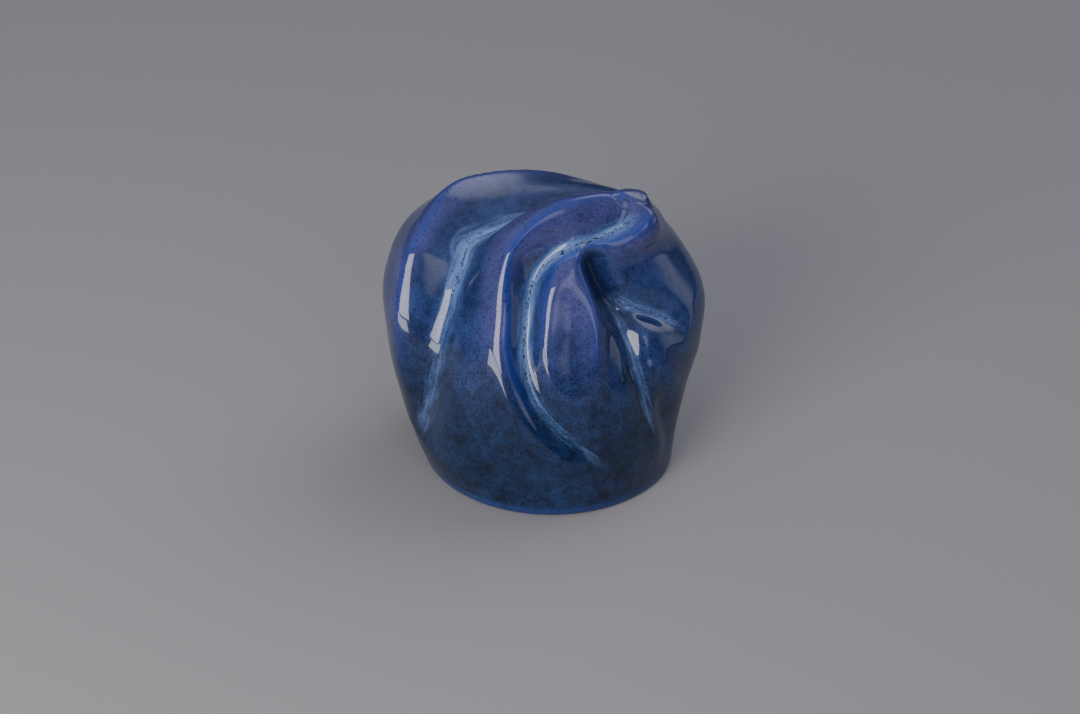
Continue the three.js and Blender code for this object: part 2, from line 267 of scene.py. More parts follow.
def makeGuides():  # one line of points along every fold
    points, edges = [], []
    held = {name: [] for name in guideKinds}
    for number, (left, right, power, path) in enumerate(folds.values()):
        levels, degrees, rises, milk = np.array([(*point, 0)[:4] for point in path], float).T
        strides = body["levelStride"] * np.diff(levels)
        steps = np.hypot(strides, body["turnStride"] * np.radians(np.diff(degrees)))
        keys = np.concatenate([[0], np.cumsum(steps)])
        rough = np.linspace(0, keys[-1], body["measuringPoints"])
        line = smoothBody(smoothCurve(keys, levels, rough), np.radians(smoothCurve(keys, degrees, rough)))
        length = np.linalg.norm(np.diff(line, axis=0), axis=1).sum()
        t = np.linspace(0, keys[-1], int(length / body["guideStep"]) + 2)
        level = np.clip(smoothCurve(keys, levels, t), 0, 1)
        angle = np.radians(smoothCurve(keys, degrees, t))
        line = smoothBody(level, angle)
        rise = smoothCurve(keys, rises, t)
        along = np.concatenate([[0], np.cumsum(np.linalg.norm(np.diff(line, axis=0), axis=1))])
        slope = np.gradient(rise, along)
        slope[0] = slope[-1] = 0  # the rise stays as it is past the ends
        first = len(points)
        points.extend(line * mm)
        edges.extend((first + i, first + i + 1) for i in range(len(line) - 1))
        everywhere = np.ones(len(line))
        held["shape"].append(np.stack([rise * mm, slope, power * everywhere], -1))
        held["reach"].append(np.stack([left * mm * everywhere, right * mm * everywhere, along * mm], -1))
        held["tangent"].append(unit(np.gradient(line, along, axis=0)))
        held["side"].append(unit(np.cross(held["tangent"][-1], smoothNormal(level, angle))))
        held["milk"].append(smoothCurve(keys, milk, t))
        held["fold"].append(np.full(len(line), number, np.int32))
    guides = meshObject("foldGuides", points, [], edges)
    for name, kind in guideKinds.items():
        setAttribute(guides.data, name, kind, np.concatenate(held[name]))
    return guides


# One row of the plain shell: its places, the seats on the smooth body where it follows the folds, the way
# out from there, and how it follows them.
def shellRow(place, seat, outward, follow=1.0, inset=0.0, crest=1.0, spread=0.0, bare=0.0):
    return place, seat, outward, (follow, inset, crest, spread, bare)


def outerRows(angle):  # down the outside, from the peak
    rows = []
    for k in range(body["outerRows"], -1, -1):
        share = k / body["outerRows"]
        level = np.full_like(angle, share * (1 + body["peakCrowding"] * (1 - share)))
        place = smoothBody(level, angle)
        rows.append(shellRow(place, place, smoothNormal(level, angle)))
    return rows


def footEdgeRows(footLine, outward):  # round the foot's edge to the table
    rows = []
    centre = footLine.mean(axis=0)
    for k in range(body["roundingRows"] - 1, -1, -1):
        bend = math.radians(90 * k / body["roundingRows"])
        inset = body["footRounding"] * (1 - math.sin(bend))
        place = footLine + (centre - footLine) * inset / footRadius
        place[:, 2] = body["footRounding"] * (1 - math.cos(bend))
        rows.append(shellRow(place, footLine, outward * (1, 1, 0), bare=1.0 if k == 0 else 0.0))
    return rows


def undersideRows(angle):  # in under the foot and up through the fill hole
    ringRadius = footRadius - body["footRounding"] - body["footRingWidth"]
    recess = body["recessDepth"]
    soft = body["holeRounding"]
    hole = body["fillHoleRadius"]
    profile = [  # radius and height
        (ringRadius + soft, 0),
        (ringRadius, soft / 2),
        (ringRadius - recess / 2 + soft / 2, recess - soft / 2),
        (ringRadius - recess / 2 - soft / 2, recess),
        ((ringRadius + hole) / 2, recess),
        (hole, recess),
        (hole, recess + body["floorThickness"]),
    ]
    rows = []
    for radius, height in profile:
        place = np.stack([np.cos(angle), np.sin(angle), 0 * angle], -1) * radius + (*footMiddle, height)
        rows.append(shellRow(place, place, 0 * place, follow=0.0, bare=1.0))
    return rows


def hollowRows(angle):  # out over the floor and up the inside
    hollow = {
        "inset": body["wall"],
        "crest": body["crestHollow"],
        "spread": body["valleySpread"],
        "bare": 1.0,
    }
    floorTop = body["recessDepth"] + body["floorThickness"]
    begins = levelAtHeight(floorTop + body["innerCorner"])
    level = np.full_like(angle, begins)
    wallPlace = smoothBody(level, angle)
    wallOut = smoothNormal(level, angle)
    share = body["innerCorner"] / (footRadius - body["wall"])
    rows = []
    for k in range(body["cornerRows"]):
        bend = math.radians(90 * k / body["cornerRows"])
        place = wallPlace + (wallPlace.mean(axis=0) - wallPlace) * share * (1 - math.sin(bend))
        place[:, 2] = floorTop + body["innerCorner"] * (1 - math.cos(bend))
        rows.append(shellRow(place, wallPlace, wallOut, **hollow))
    for k in range(body["innerRows"]):
        level = np.full_like(angle, begins + (body["innerTopLevel"] - begins) * k / (body["innerRows"] - 1))
        place = smoothBody(level, angle)
        rows.append(shellRow(place, place, smoothNormal(level, angle), **hollow))
    return rows


def shellFaces(rowCount):  # quads between the rows, and a fan at each pole
    count = body["columns"]
    faces = []
    for k in range(rowCount - 1):
        upper = k * count
        lower = upper + count
        for i in range(count):
            j = (i + 1) % count
            faces.append((upper + j, upper + i, lower + i, lower + j))
    topPole = rowCount * count
    last = topPole - count
    for i in range(count):
        j = (i + 1) % count
        faces.append((i, j, topPole))
        faces.append((last + j, last + i, topPole + 1))
    return faces


def makeShell():  # the plain shell that the folds are raised on
    turn = 2 * np.pi * np.arange(body["columns"]) / body["columns"]
    angle = turn + body["frontCrowding"] * np.sin(turn - math.radians(body["crowdingFrom"]))
    rows = outerRows(angle)
    footLine, _, footOut, _ = rows[-1]
    rows += footEdgeRows(footLine, footOut) + undersideRows(angle) + hollowRows(angle)
    poles = [rows[0], rows[-1]]

    place, seat, outward = (
        np.concatenate([row[i] for row in rows] + [row[i].mean(axis=0, keepdims=True) for row in poles])
        for i in range(3)
    )
    outward[-2:] = unit(outward[-2:])  # of the two poles
    repeats = [body["columns"]] * len(rows) + [1, 1]
    follow, inset, crest, spread, bare = np.repeat([row[3] for row in rows + poles], repeats, axis=0).T

    shell = meshObject("urnShell", place * mm, shellFaces(len(rows)))
    setAttribute(shell.data, "seat", "FLOAT_VECTOR", seat * mm)
    setAttribute(shell.data, "outward", "FLOAT_VECTOR", outward)
    setAttribute(shell.data, "follow", "FLOAT", follow)
    setAttribute(shell.data, "inset", "FLOAT", inset * mm)
    setAttribute(shell.data, "crestShare", "FLOAT", crest)
    setAttribute(shell.data, "spread", "FLOAT", spread * mm)
    setAttribute(shell.data, "bare", "FLOAT", bare)
    return shell


# Short ways to write node trees

nodeGrid = {"columns": 14, "width": 190, "height": 230}  # how nodes are laid out in the editor


def addNode(tree, kind, inputs=None, **settings):
    node = tree.nodes.new(kind)
    row, column = divmod(len(tree.nodes), nodeGrid["columns"])
    node.location = (nodeGrid["width"] * column, -nodeGrid["height"] * row)
    for key, value in settings.items():
        setattr(node, key, value)
    for key, value in (inputs or {}).items():
        if isinstance(value, bpy.types.NodeSocket):
            tree.links.new(value, node.inputs[key])
        else:
            node.inputs[key].default_value = value
    return node


def maths(tree, operation, a, b=0.0, clamp=False):
    return addNode(tree, "ShaderNodeMath", {0: a, 1: b}, operation=operation, use_clamp=clamp).outputs[0]


def vectorMaths(tree, operation, a, b=(0, 0, 0)):
    node = addNode(tree, "ShaderNodeVectorMath", {0: a, 1: b}, operation=operation)
    return node.outputs["Value" if operation == "DOT_PRODUCT" else "Vector"]


def scaled(tree, vector, factor):
    node = addNode(tree, "ShaderNodeVectorMath", {0: vector, "Scale": factor}, operation="SCALE")
    return node.outputs["Vector"]


def ramped(tree, value, low, high, outLow=0.0, outHigh=1.0):  # a soft step from low to high
    inputs = {"Value": value, "From Min": low, "From Max": high, "To Min": outLow, "To Max": outHigh}
    return addNode(tree, "ShaderNodeMapRange", inputs, interpolation_type="SMOOTHSTEP").outputs["Result"]


def newSocket(tree, name, kind, default=None, inOut="INPUT"):
    socket = tree.interface.new_socket(name, in_out=inOut, socket_type="NodeSocket" + kind)
    if default is not None:
        socket.default_value = default
    return socket


def named(tree, name, kind="FLOAT"):
    node = addNode(tree, "GeometryNodeInputNamedAttribute", {"Name": name}, data_type=kind)
    return node.outputs["Attribute"]


def stored(tree, geometry, name, value, kind="FLOAT"):
    inputs = {"Geometry": geometry, "Name": name, "Value": value}
    settings = {"data_type": kind, "domain": "POINT"}
    return addNode(tree, "GeometryNodeStoreNamedAttribute", inputs, **settings).outputs["Geometry"]


def parts(tree, vector):
    return addNode(tree, "ShaderNodeSeparateXYZ", {0: vector}).outputs


# The folds, as geometry nodes: every turn of the repeat zone adds one fold's rise to the shell.

foldSockets = [
    ("Shell", "Geometry", None),
    ("Guides", "Object", None),
    ("Fold Count", "Int", 1),
    ("Fold Scale", "Float", 1.0),
    ("Ridge Width", "Float", 0.001),
    ("Ridge From", "Float", 0.001),
    ("Ridge Full", "Float", 0.006),
    ("Pool Width", "Float", 0.5),
    ("Pool From", "Float", 0.0),
    ("Pool Full", "Float", 0.005),
    ("Wobble", "Float", 0.0),
    ("Wobble Size", "Float", 0.02),
    ("Glaze", "Material", None),
    ("Bare Clay", "Material", None),
]


def besideGuide(tree, given, turn):  # where the shell's point lies beside this turn's guide
    guides = addNode(tree, "GeometryNodeObjectInfo", {"Object": given["Guides"]}).outputs["Geometry"]
    seat = named(tree, "seat", "FLOAT_VECTOR")
    isThis = addNode(tree, "FunctionNodeCompare", {
        2: named(tree, "fold", "INT"),
        3: turn,
    }, data_type="INT", operation="EQUAL").outputs[0]
    guide = addNode(
        tree, "GeometryNodeSeparateGeometry", {"Geometry": guides, "Selection": isThis}, domain="POINT",
    ).outputs["Selection"]
    distance = addNode(
        tree, "GeometryNodeProximity", {0: guide, "Sample Position": seat}, target_element="EDGES",
    ).outputs["Distance"]
    nearest = addNode(
        tree, "GeometryNodeSampleNearest", {"Geometry": guide, "Sample Position": seat}, domain="POINT",
    ).outputs["Index"]

    def sampled(value, kind="FLOAT_VECTOR"):
        inputs = {"Geometry": guide, "Value": value, "Index": nearest}
        settings = {"data_type": kind, "domain": "POINT"}
        return addNode(tree, "GeometryNodeSampleIndex", inputs, **settings).outputs["Value"]

    def held(name):
        return sampled(named(tree, name, guideKinds[name]), guideKinds[name])

    point = sampled(addNode(tree, "GeometryNodeInputPosition").outputs[0])
    offset = vectorMaths(tree, "SUBTRACT", seat, point)
    along = vectorMaths(tree, "DOT_PRODUCT", offset, held("tangent"))
    aside = vectorMaths(tree, "DOT_PRODUCT", offset, held("side"))
    return distance, along, aside, parts(tree, held("shape")), parts(tree, held("reach")), held("milk")


def addFold(tree, given, geometry, turn):  # one fold's rise, and what the glaze does on it
    distance, along, aside, shape, reach, milk = besideGuide(tree, given, turn)

    def maximum(name, value):
        return maths(tree, "MAXIMUM", named(tree, name), value)

    def bell(spread):  # 1 on the guide, falling off over spread
        ratio = maths(tree, "DIVIDE", distance, spread)
        return maths(tree, "EXPONENT", maths(tree, "MULTIPLY", maths(tree, "MULTIPLY", ratio, ratio), -1.0))

    rise = maths(tree, "ADD", shape[0], maths(tree, "MULTIPLY", shape[1], along))
    rightness = maths(tree, "DIVIDE", aside, maths(tree, "MAXIMUM", distance, 1e-7))
    rightness = maths(tree, "ADD", maths(tree, "MULTIPLY", rightness, 0.5), 0.5, clamp=True)
    isCrest = maths(tree, "GREATER_THAN", rise, 0.0)
    isValley = maths(tree, "SUBTRACT", 1.0, isCrest)
    width = addNode(tree, "ShaderNodeMix", {0: rightness, 2: reach[0], 3: reach[1]}).outputs[0]
    width = maths(tree, "ADD", width, maths(tree, "MULTIPLY", isValley, named(tree, "spread")))
    fall = maths(tree, "POWER", maths(tree, "DIVIDE", distance, width), shape[2])
    fall = maths(tree, "EXPONENT", maths(tree, "MULTIPLY", fall, -1.0))
    share = addNode(tree, "ShaderNodeMix", {0: isCrest, 2: 1.0, 3: named(tree, "crestShare")}).outputs[0]
    added = maths(tree, "MULTIPLY", maths(tree, "MULTIPLY", rise, share), fall)
    geometry = stored(tree, geometry, "raise", maths(tree, "ADD", named(tree, "raise"), added))

    proud = ramped(tree, rise, given["Ridge From"], given["Ridge Full"])
    ridge = maths(tree, "MULTIPLY", bell(given["Ridge Width"]), proud)
    geometry = stored(tree, geometry, "ridge", maximum("ridge", ridge))

    depth = maths(tree, "MULTIPLY", rise, -1.0)
    sunk = ramped(tree, depth, given["Pool From"], given["Pool Full"])
    gathered = bell(maths(tree, "MULTIPLY", width, given["Pool Width"]))
    pool = maths(tree, "MULTIPLY", gathered, sunk)
    run = maths(tree, "ADD", reach[2], along)
    flow = addNode(tree, "ShaderNodeMix", {
        0: maths(tree, "GREATER_THAN", pool, named(tree, "pool")),
        4: named(tree, "flow", "FLOAT_VECTOR"),
        5: addNode(tree, "ShaderNodeCombineXYZ", {0: run, 1: aside, 2: turn}).outputs[0],
    }, data_type="VECTOR").outputs[1]
    geometry = stored(tree, geometry, "flow", flow, "FLOAT_VECTOR")
    milky = maths(tree, "MULTIPLY", gathered, milk)
    geometry = stored(tree, geometry, "milk", maximum("milk", milky))
    return stored(tree, geometry, "pool", maximum("pool", pool))


def raiseShell(tree, given, geometry):  # moves the shell by its folds, its wobble and its wall
    noise = addNode(tree, "ShaderNodeTexNoise", {
        "Vector": named(tree, "seat", "FLOAT_VECTOR"),
        "Scale": maths(tree, "DIVIDE", 1.0, given["Wobble Size"]),
        "Detail": 1.0,
    })
    wobble = maths(tree, "MULTIPLY", maths(tree, "SUBTRACT", noise.outputs[0], 0.5), given["Wobble"])
    lift = maths(tree, "MULTIPLY", named(tree, "raise"), given["Fold Scale"])
    lift = maths(tree, "MULTIPLY", maths(tree, "ADD", lift, wobble), named(tree, "follow"))
    lift = maths(tree, "SUBTRACT", lift, named(tree, "inset"))
    offset = scaled(tree, named(tree, "outward", "FLOAT_VECTOR"), lift)
    inputs = {"Geometry": geometry, "Offset": offset}
    raised = addNode(tree, "GeometryNodeSetPosition", inputs).outputs[0]
    return addNode(tree, "GeometryNodeSetShadeSmooth", {"Geometry": raised}).outputs[0]


def dressShell(tree, given, geometry):  # glaze outside, bare clay inside and under the foot
    real = addNode(tree, "GeometryNodeRealizeInstances", {"Geometry": geometry}).outputs[0]
    inputs = {"Geometry": real, "Material": given["Glaze"]}
    glazed = addNode(tree, "GeometryNodeSetMaterial", inputs).outputs[0]
    isBare = maths(tree, "GREATER_THAN", named(tree, "bare"), 0.5)
    inputs = {"Geometry": glazed, "Selection": isBare, "Material": given["Bare Clay"]}
    return addNode(tree, "GeometryNodeSetMaterial", inputs).outputs[0]


def makeFoldTree():
    tree = bpy.data.node_groups.new("urnFolds", "GeometryNodeTree")
    for name, kind, default in foldSockets:
        newSocket(tree, name, kind, default)
    newSocket(tree, "Urn", "Geometry", inOut="OUTPUT")
    given = addNode(tree, "NodeGroupInput").outputs

    prepared = given["Shell"]
    for name in ("raise", "pool", "ridge", "milk"):
        prepared = stored(tree, prepared, name, 0.0)
    prepared = stored(tree, prepared, "flow", (0.0, 0.0, 0.0), "FLOAT_VECTOR")

    begin = tree.nodes.new("GeometryNodeRepeatInput")
    end = tree.nodes.new("GeometryNodeRepeatOutput")
    begin.pair_with_output(end)
    tree.links.new(given["Fold Count"], begin.inputs["Iterations"])
    tree.links.new(prepared, begin.inputs["Geometry"])
    folded = addFold(tree, given, begin.outputs["Geometry"], begin.outputs["Iteration"])
    tree.links.new(folded, end.inputs["Geometry"])

    raised = raiseShell(tree, given, end.outputs["Geometry"])
    addNode(tree, "NodeGroupOutput", {"Urn": dressShell(tree, given, raised)})
    return tree


def applyTree(piece, tree, values):
    modifier = piece.modifiers.new(tree.name, "NODES")
    modifier.node_group = tree
    for item in tree.interface.items_tree:
        if item.in_out == "INPUT" and item.name in values:
            modifier[item.identifier] = values[item.name]
    graph = bpy.context.evaluated_depsgraph_get()
    made = bpy.data.meshes.new_from_object(
        piece.evaluated_get(graph), preserve_all_data_layers=True, depsgraph=graph,
    )
    piece.modifiers.clear()
    piece.data = made
    return piece


# Shader groups that the materials share

def makeGroup(name, inputs, outputs):
    tree = bpy.data.node_groups.new(name, "ShaderNodeTree")
    for label, kind, default in inputs:
        newSocket(tree, label, kind, default)
    for label, kind in outputs:
        newSocket(tree, label, kind, inOut="OUTPUT")
    return tree, addNode(tree, "NodeGroupInput").outputs


def makeSpeckGroup():  # fine specks: Size in mm, Amount from 0 to 1
    tree, given = makeGroup(
        "fineSpecks",
        [
            ("Place", "Vector", None),
            ("Size", "Float", 0.5),
            ("Amount", "Float", 0.5),
            ("Softness", "Float", 0.08),
        ],
        [("Mask", "Float"), ("Tone", "Float")],
    )
    noise = addNode(tree, "ShaderNodeTexNoise", {
        "Vector": given["Place"],
        "Scale": maths(tree, "DIVIDE", 1.0, given["Size"]),
        "Detail": 2.0,
        "Roughness": 0.6,
    }).outputs[0]
    fewest = 0.72  # noise above this is a speck where Amount is 0
    most = 0.37  # and above this where it is 1
    limit = maths(tree, "MULTIPLY", given["Amount"], most - fewest)
    limit = maths(tree, "ADD", limit, fewest)
    low = maths(tree, "SUBTRACT", limit, given["Softness"])
    high = maths(tree, "ADD", limit, given["Softness"])
    addNode(tree, "NodeGroupOutput", {"Mask": ramped(tree, noise, low, high), "Tone": noise})
    return tree


def makeCloudGroup():  # soft uneven clouds: Size in mm, Contrast widens them
    tree, given = makeGroup(
        "cloudyTone",
        [
            ("Place", "Vector", None),
            ("Size", "Float", 10.0),
            ("Contrast", "Float", 0.25),
            ("Twist", "Float", 0.6),
        ],
        [("Mask", "Float")],
    )
    noise = addNode(tree, "ShaderNodeTexNoise", {
        "Vector": given["Place"],
        "Scale": maths(tree, "DIVIDE", 1.0, given["Size"]),
        "Detail": 5.0,
        "Roughness": 0.55,
        "Distortion": given["Twist"],
    }).outputs[0]
    low = maths(tree, "SUBTRACT", 0.5, given["Contrast"])
    high = maths(tree, "ADD", 0.5, given["Contrast"])
    addNode(tree, "NodeGroupOutput", {"Mask": ramped(tree, noise, low, high)})
    return tree


specks = makeSpeckGroup()
clouds = makeCloudGroup()


def useGroup(tree, group, inputs):
    return addNode(tree, "ShaderNodeGroup", inputs, node_tree=group).outputs


def startMaterial(name):
    material = bpy.data.materials.new(name)
    material.use_nodes = True
    tree = material.node_tree
    tree.nodes.clear()
    shader = addNode(tree, "ShaderNodeBsdfPrincipled")
    addNode(tree, "ShaderNodeOutputMaterial", {"Surface": shader.outputs[0]})
    coordinates = addNode(tree, "ShaderNodeTexCoord").outputs["Object"]
    scale = (1 / mm, 1 / mm, 1 / mm)
    place = addNode(tree, "ShaderNodeMapping", {"Vector": coordinates, "Scale": scale}).outputs[0]
    return material, tree, shader, place  # place counts in mm


def mixColours(tree, share, a, b):
    return addNode(tree, "ShaderNodeMix", {0: share, 6: a, 7: b}, data_type="RGBA").outputs[2]


def bumped(tree, height, distance):
    return addNode(tree, "ShaderNodeBump", {"Height": height, "Distance": distance}).outputs[0]


glaze = {
    "deep": (0.004, 0.009, 0.028, 1),
    "blue": (0.017, 0.050, 0.150, 1),
    "upperDeep": (0.014, 0.028, 0.095, 1),
    "upperBlue": (0.045, 0.085, 0.260, 1),
    # painted reflection: this violet stands in for the pale backdrop mirrored on the upper crests
    "paintedSheen": (0.100, 0.102, 0.310, 1),
    "cobalt": (0.010, 0.042, 0.300, 1),
    "lowCobalt": (0.003, 0.016, 0.140, 1),
    "milk": (0.145, 0.250, 0.530, 1),
    "cream": (0.330, 0.430, 0.680, 1),
    "speck": (0.0015, 0.003, 0.010, 1),
    "foot": (0.022, 0.050, 0.185, 1),
    "speckSize": 0.42,  # mm, as all sizes and heights here
    "speckAmount": 0.52,
    "speckSoftness": 0.09,
    "speckHeights": (40.0, 65.0),  # the specks fade between these heights
    "speckStrengths": (0.9, 0.55),  # from the first to the second of these
    "speckMost": 1.05,  # where the mottle is darkest
    "speckMottle": 0.45,  # so much weaker where it is palest
    "speckCleared": 0.75,  # share that milk, ridges and the foot's band clear away
    "rareSize": 1.3,
    "rareAmount": 0.25,
    "rareSoftness": 0.03,
    "rareShare": 0.5,
    "cloudSize": 16.0,
    "cloudContrast": 0.2,
    "cloudTone": 0.5,  # how far the clouds turn the deep tones into the blue ones
    "mottleSize": 3.5,
    "mottleContrast": 0.22,
    "mottleTone": 0.4,
    "upperHeights": (22.0, 55.0),  # the upper tones take over between these
    "paintedSheenRises": (-0.5, 4.5),  # what stands proud gets the violet painted reflection
    "paintedSheenHeights": (38.0, 62.0),
    "paintedSheenLeast": 0.45,
    "paintedSheenCloud": 0.45,
    "streakLength": 9.0,
    "streakWidth": 1.1,
    "streakDetail": 4.0,
    "milkLimits": (0.2, 0.95),
    "milkEdge": (0.05, 0.4),
    "creamLimits": (0.42, 0.75),
    "creamShare": 0.45,
    "crystalLength": 1.3,
    "crystalWidth": 0.5,
    "crystalDetail": 3.0,
    "crystalLimits": (0.5, 0.58),
    "crystalReach": (1.0, 0.15),  # from a valley's bottom: crystals end, and are full
    "cobaltHeights": (30.0, 58.0),  # ridges turn from low cobalt to cobalt
    "thinHeights": (35.0, 70.0),
    "thinStrengths": (0.9, 0.7),
    "footHeights": (4.4, 2.6),  # the clean band ends, and is full
    "footUneven": 1.2,
    "footShare": 0.8,
    "roughness": 0.16,
    "roughnessGrain": 0.08,
    "waveScale": 0.35,  # waves of the surface in a millimetre
    "speckDip": 0.012,  # share of the bump's height
    "bumpHeight": 0.06,
    "coatRoughness": 0.025,
    "coatFacing": (0.4, 0.95),  # the coat weakens as the surface turns away
    "coatStrengths": (1.0, 0.12),
    "specularLevel": 0.08,
}


def makeGlaze():
    material, tree, shader, place = startMaterial("blueGlaze")

    def times(a, b):
        return maths(tree, "MULTIPLY", a, b)

    def plus(a, b):
        return maths(tree, "ADD", a, b)

    def larger(a, b):
        return maths(tree, "MAXIMUM", a, b, clamp=True)

    def attribute(name, output="Fac"):
        return addNode(tree, "ShaderNodeAttribute", attribute_name=name).outputs[output]

    def cloudy(name):
        inputs = {"Place": place, "Size": glaze[name + "Size"], "Contrast": glaze[name + "Contrast"]}
        return useGroup(tree, clouds, inputs)["Mask"]

    def specky(name):
        return useGroup(tree, specks, {
            "Place": place,
            "Size": glaze[name + "Size"],
            "Amount": glaze[name + "Amount"],
            "Softness": glaze[name + "Softness"],
        })

    height = parts(tree, place)[2]
    milk = attribute("milk")
    ridge = attribute("ridge")
    lift = times(attribute("raise"), 1 / mm)
    flow = parts(tree, attribute("flow", "Vector"))
    along = times(flow[0], 1 / mm)
    across = times(flow[1], 1 / mm)

    def flowNoise(name):  # noise drawn out along a valley
        where = addNode(tree, "ShaderNodeCombineXYZ", {
            0: maths(tree, "DIVIDE", along, glaze[name + "Length"]),
            1: maths(tree, "DIVIDE", across, glaze[name + "Width"]),
            2: flow[2],
        }).outputs[0]
        inputs = {"Vector": where, "Scale": 1.0, "Detail": glaze[name + "Detail"]}
        return addNode(tree, "ShaderNodeTexNoise", inputs).outputs[0]

    cloud = cloudy("cloud")
    mottle = cloudy("mottle")
    fine = specky("speck")
    rare = specky("rare")["Mask"]

    # base colour: navy clouded with blue, darker low down, and a violet painted reflection on what stands
    # proud
    tone = plus(times(cloud, glaze["cloudTone"]), times(mottle, glaze["mottleTone"]))
    lower = mixColours(tree, tone, glaze["deep"], glaze["blue"])
    upper = mixColours(tree, tone, glaze["upperDeep"], glaze["upperBlue"])
    colour = mixColours(tree, ramped(tree, height, *glaze["upperHeights"]), lower, upper)
    # painted reflection: upper parts that stand proud turn violet, clouded, in place of the backdrop's
    # reflection
    proud = times(ramped(tree, lift, *glaze["paintedSheenRises"]), ramped(tree, height, *glaze["paintedSheenHeights"]))
    proud = times(proud, plus(times(cloud, glaze["paintedSheenCloud"]), glaze["paintedSheenLeast"]))
    colour = mixColours(tree, proud, colour, glaze["paintedSheen"])

    # milky glaze gathered in the valleys, streaked along them
    streak = flowNoise("streak")
    gather = ramped(tree, plus(milk, maths(tree, "SUBTRACT", streak, 0.5)), *glaze["milkLimits"])
    gather = times(gather, ramped(tree, milk, *glaze["milkEdge"]))
    colour = mixColours(tree, gather, colour, glaze["milk"])
    core = times(ramped(tree, times(gather, streak), *glaze["creamLimits"]), glaze["creamShare"])
    colour = mixColours(tree, core, colour, glaze["cream"])

    # dark crystals in a line along the bottom of each valley
    crystal = ramped(tree, flowNoise("crystal"), *glaze["crystalLimits"])
    nearLine = ramped(tree, maths(tree, "ABSOLUTE", across), *glaze["crystalReach"])
    crystal = times(crystal, times(nearLine, gather))

    # ridges where the glaze is thin, clear cobalt
    ridgeShare = ramped(tree, height, *glaze["cobaltHeights"])
    ridgeColour = mixColours(tree, ridgeShare, glaze["lowCobalt"], glaze["cobalt"])
    thin = times(ridge, ramped(tree, height, *glaze["thinHeights"], *glaze["thinStrengths"]))
    colour = mixColours(tree, thin, colour, ridgeColour)

    # dark specks everywhere, fewer on milk and ridges and on the foot's clean band
    band = ramped(tree, plus(height, times(mottle, glaze["footUneven"])), *glaze["footHeights"])
    clean = times(larger(larger(gather, ridge), band), glaze["speckCleared"])
    dark = times(fine["Mask"], maths(tree, "SUBTRACT", 1.0, clean))
    dark = times(dark, plus(times(mottle, -glaze["speckMottle"]), glaze["speckMost"]))
    dark = times(dark, ramped(tree, height, *glaze["speckHeights"], *glaze["speckStrengths"]))
    dark = larger(larger(dark, times(rare, glaze["rareShare"])), crystal)
    colour = mixColours(tree, times(band, glaze["footShare"]), colour, glaze["foot"])
    colour = mixColours(tree, dark, colour, glaze["speck"])
    tree.links.new(colour, shader.inputs["Base Color"])

    rough = plus(times(fine["Tone"], glaze["roughnessGrain"]), glaze["roughness"])
    tree.links.new(rough, shader.inputs["Roughness"])
    inputs = {"Vector": place, "Scale": glaze["waveScale"], "Detail": 1.0}
    waves = addNode(tree, "ShaderNodeTexNoise", inputs).outputs[0]
    relief = plus(waves, times(fine["Mask"], -glaze["speckDip"]))
    tree.links.new(bumped(tree, relief, glaze["bumpHeight"] * mm), shader.inputs["Normal"])
    facing = addNode(tree, "ShaderNodeLayerWeight", {"Blend": 0.5}).outputs["Facing"]
    coat = ramped(tree, facing, *glaze["coatFacing"], *glaze["coatStrengths"])
    tree.links.new(coat, shader.inputs["Coat Weight"])
    shader.inputs["Coat Roughness"].default_value = glaze["coatRoughness"]
    shader.inputs["Specular IOR Level"].default_value = glaze["specularLevel"]
    return material


clay = {
    "pale": (0.46, 0.40, 0.33, 1),
    "dark": (0.27, 0.22, 0.17, 1),
    "grit": (0.10, 0.075, 0.055, 1),
    "cloudSize": 7.0,  # mm
    "cloudShare": 0.6,
    "gritSize": 0.7,
    "gritAmount": 0.3,
    "gritShare": 0.7,
    "gritHeight": 0.3,
    "roughness": 0.85,
}


def makeClay():
    material, tree, shader, place = startMaterial("bareClay")
    cloud = useGroup(tree, clouds, {"Place": place, "Size": clay["cloudSize"]})["Mask"]
    inputs = {"Place": place, "Size": clay["gritSize"], "Amount": clay["gritAmount"]}
    grit = useGroup(tree, specks, inputs)
    clouded = maths(tree, "MULTIPLY", cloud, clay["cloudShare"])
    gritty = maths(tree, "MULTIPLY", grit["Mask"], clay["gritShare"])
    colour = mixColours(tree, clouded, clay["pale"], clay["dark"])
    colour = mixColours(tree, gritty, colour, clay["grit"])
    tree.links.new(colour, shader.inputs["Base Color"])
    tree.links.new(bumped(tree, grit["Tone"], clay["gritHeight"] * mm), shader.inputs["Normal"])
    shader.inputs["Roughness"].default_value = clay["roughness"]
    return material


rubber = {
    "colour": (0.022, 0.023, 0.026, 1),
    "worn": (0.05, 0.05, 0.054, 1),
    "wornSize": 5.0,  # mm
    "wornShare": 0.7,
    "grainSize": 0.35,
    "grainAmount": 0.5,
    "grainSoftness": 0.2,
    "grainHeight": 0.08,
    "roughness": 0.55,
    "wornRoughness": 0.15,
}


def makeRubber():
    material, tree, shader, place = startMaterial("stopperRubber")
    worn = useGroup(tree, clouds, {"Place": place, "Size": rubber["wornSize"]})["Mask"]
    grain = useGroup(tree, specks, {
        "Place": place,
        "Size": rubber["grainSize"],
        "Amount": rubber["grainAmount"],
        "Softness": rubber["grainSoftness"],
    })
    share = maths(tree, "MULTIPLY", worn, rubber["wornShare"])
    colour = mixColours(tree, share, rubber["colour"], rubber["worn"])
    tree.links.new(colour, shader.inputs["Base Color"])
    tree.links.new(bumped(tree, grain["Tone"], rubber["grainHeight"] * mm), shader.inputs["Normal"])
    rough = maths(tree, "MULTIPLY", worn, rubber["wornRoughness"])
    tree.links.new(maths(tree, "ADD", rough, rubber["roughness"]), shader.inputs["Roughness"])
    return material


# The urn's body

